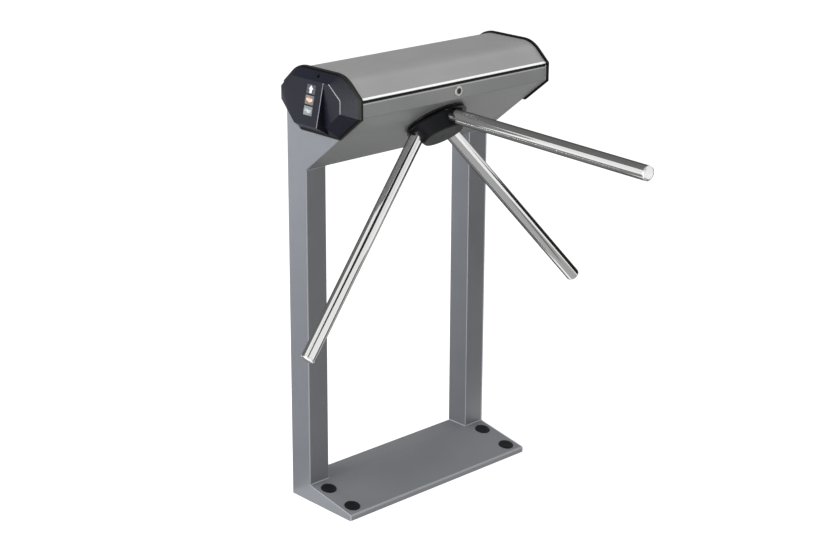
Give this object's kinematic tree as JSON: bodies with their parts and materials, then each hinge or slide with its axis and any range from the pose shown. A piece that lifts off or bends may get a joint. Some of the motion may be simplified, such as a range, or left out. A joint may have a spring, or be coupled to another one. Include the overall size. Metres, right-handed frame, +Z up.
{
  "type": "waist-high tripod turnstile",
  "caption": "Waist-high tripod turnstile: two-post floor frame with an octagonal head, a locking lid and polished arms on an inclined motor-driven rotor.",
  "frame": {"origin": "centre of the four floor anchor holes, on the floor", "axes": "+X along the head, -Y towards the side of the arms (people pass along X), +Z up"},
  "size_m": [0.8404, 0.7841, 1.0045],
  "materials": {
    "frame_paint": "satin metallic powder coat",
    "head_paint": "satin metallic powder coat",
    "black_plastic": "fine moulded texture",
    "black_casting": "cast, black powder coat",
    "arm_steel": "polished stainless",
    "plated_steel": "zinc plated",
    "bare_steel": "ground",
    "cast_alloy": "cast",
    "motor_paint": "black paint",
    "coil_steel": "plated frame, taped coil",
    "lock_chrome": "polished",
    "rubber": "matt",
    "signal_lens": "moulded lens",
    "board_green": "solder mask",
    "board_plastic": "moulded",
    "standoff_brass": "turned"
  },
  "bodies": {
    "frame": {"floor_plate": "frame_paint", "base_cover": "frame_paint", "side_plate_left": "frame_paint", "side_plate_right": "frame_paint", "post_left": "frame_paint", "post_right": "frame_paint", "head_shell": "head_paint", "base_plugs": "black_plastic", "cable_grommets": "rubber", "trim_ring": "black_plastic", "mech_plate": "plated_steel", "mech_pillars": "plated_steel", "mech_screws": "plated_steel", "bearing_housing": "cast_alloy", "bearing_outer_rings": "bare_steel", "gearbox": "cast_alloy", "motor": "motor_paint", "solenoid_left": "coil_steel", "solenoid_right": "coil_steel", "pawl_pins": "plated_steel", "circuit_board": "board_green", "board_standoffs": "standoff_brass", "board_parts": "board_plastic", "position_sensor": "black_plastic", "end_cap_left": "black_plastic", "end_cap_right": "black_plastic", "cap_screws": "plated_steel", "signal_lenses_left": "signal_lens", "signal_lenses_right": "signal_lens", "signal_boards": "board_green", "lock_body": "lock_chrome", "lock_nut": "plated_steel", "hinge_leaves_frame": "plated_steel", "hinge_pins": "plated_steel", "lid_gasket": "rubber"},
    "lid": {"lid": "head_paint", "hinge_leaves_lid": "plated_steel", "lid_keeper": "plated_steel"},
    "lock_core": {"lock_plug": "lock_chrome", "lock_cam": "plated_steel"},
    "rotor": {"hub": "black_casting", "hub_cover": "black_casting", "hub_screws": "plated_steel", "arm_1": "arm_steel", "arm_2": "arm_steel", "arm_3": "arm_steel", "arm_tips": "arm_steel", "spindle": "bare_steel", "bearing_inner_rings": "bare_steel", "drive_gear": "bare_steel", "lock_disc": "plated_steel", "position_disc": "board_plastic", "spindle_spacers": "plated_steel", "spindle_nut": "plated_steel"},
    "ball_cages": {"ball_sets": "bare_steel"},
    "pinion": {"drive_pinion": "bare_steel"},
    "pawl_left": {"pawl_left": "plated_steel"},
    "pawl_right": {"pawl_right": "plated_steel"},
    "plunger_left": {"plunger_left": "plated_steel"},
    "plunger_right": {"plunger_right": "plated_steel"}
  },
  "joints": [
    {"name": "rotor_spin", "type": "hinge", "parent": "frame", "child": "rotor", "pos_m": [0, -0.04096, 0.86312], "axis": [0, -0.6237, -0.7817], "continuous": true},
    {"name": "cage_spin", "type": "hinge", "parent": "frame", "child": "ball_cages", "pos_m": [0, -0.00229, 0.91158], "axis": [0, -0.6237, -0.7817], "continuous": true},
    {"name": "pinion_spin", "type": "hinge", "parent": "frame", "child": "pinion", "pos_m": [0.09, 0.01892, 0.93816], "axis": [0, -0.6237, -0.7817], "continuous": true},
    {"name": "lid_hinge", "type": "hinge", "parent": "frame", "child": "lid", "pos_m": [0, 0.13415, 0.9555], "axis": [-1, 0, 0], "range_deg": [0, 95]},
    {"name": "lock_turn", "type": "hinge", "parent": "frame", "child": "lock_core", "pos_m": [0, -0.111, 0.93625], "axis": [0, 1, 0], "range_deg": [0, 90]},
    {"name": "pawl_left_swing", "type": "hinge", "parent": "frame", "child": "pawl_left", "pos_m": [-0.07165, 0.06309, 0.91699], "axis": [0, 0.6237, 0.7817], "range_deg": [0, 12], "stiffness_Nm_per_rad": 0.4, "springref_deg": -20.05},
    {"name": "pawl_right_swing", "type": "hinge", "parent": "frame", "child": "pawl_right", "pos_m": [0.07165, 0.06309, 0.91699], "axis": [0, -0.6237, -0.7817], "range_deg": [0, 12], "stiffness_Nm_per_rad": 0.4, "springref_deg": -20.05},
    {"name": "plunger_left_slide", "type": "slide", "parent": "frame", "child": "plunger_left", "axis": [-1, 0, 0], "range_m": [0, 0.0042]},
    {"name": "plunger_right_slide", "type": "slide", "parent": "frame", "child": "plunger_right", "axis": [1, 0, 0], "range_m": [0, 0.0042]}
  ],
  "couplings": [
    {"joint": "pinion_spin", "follows": "rotor_spin", "ratio": -4},
    {"joint": "cage_spin", "follows": "rotor_spin", "ratio": 0.39674},
    {"joint": "plunger_left_slide", "follows": "pawl_left_swing", "m_per_rad": 0.019963},
    {"joint": "plunger_right_slide", "follows": "pawl_right_swing", "m_per_rad": 0.019963}
  ]
}
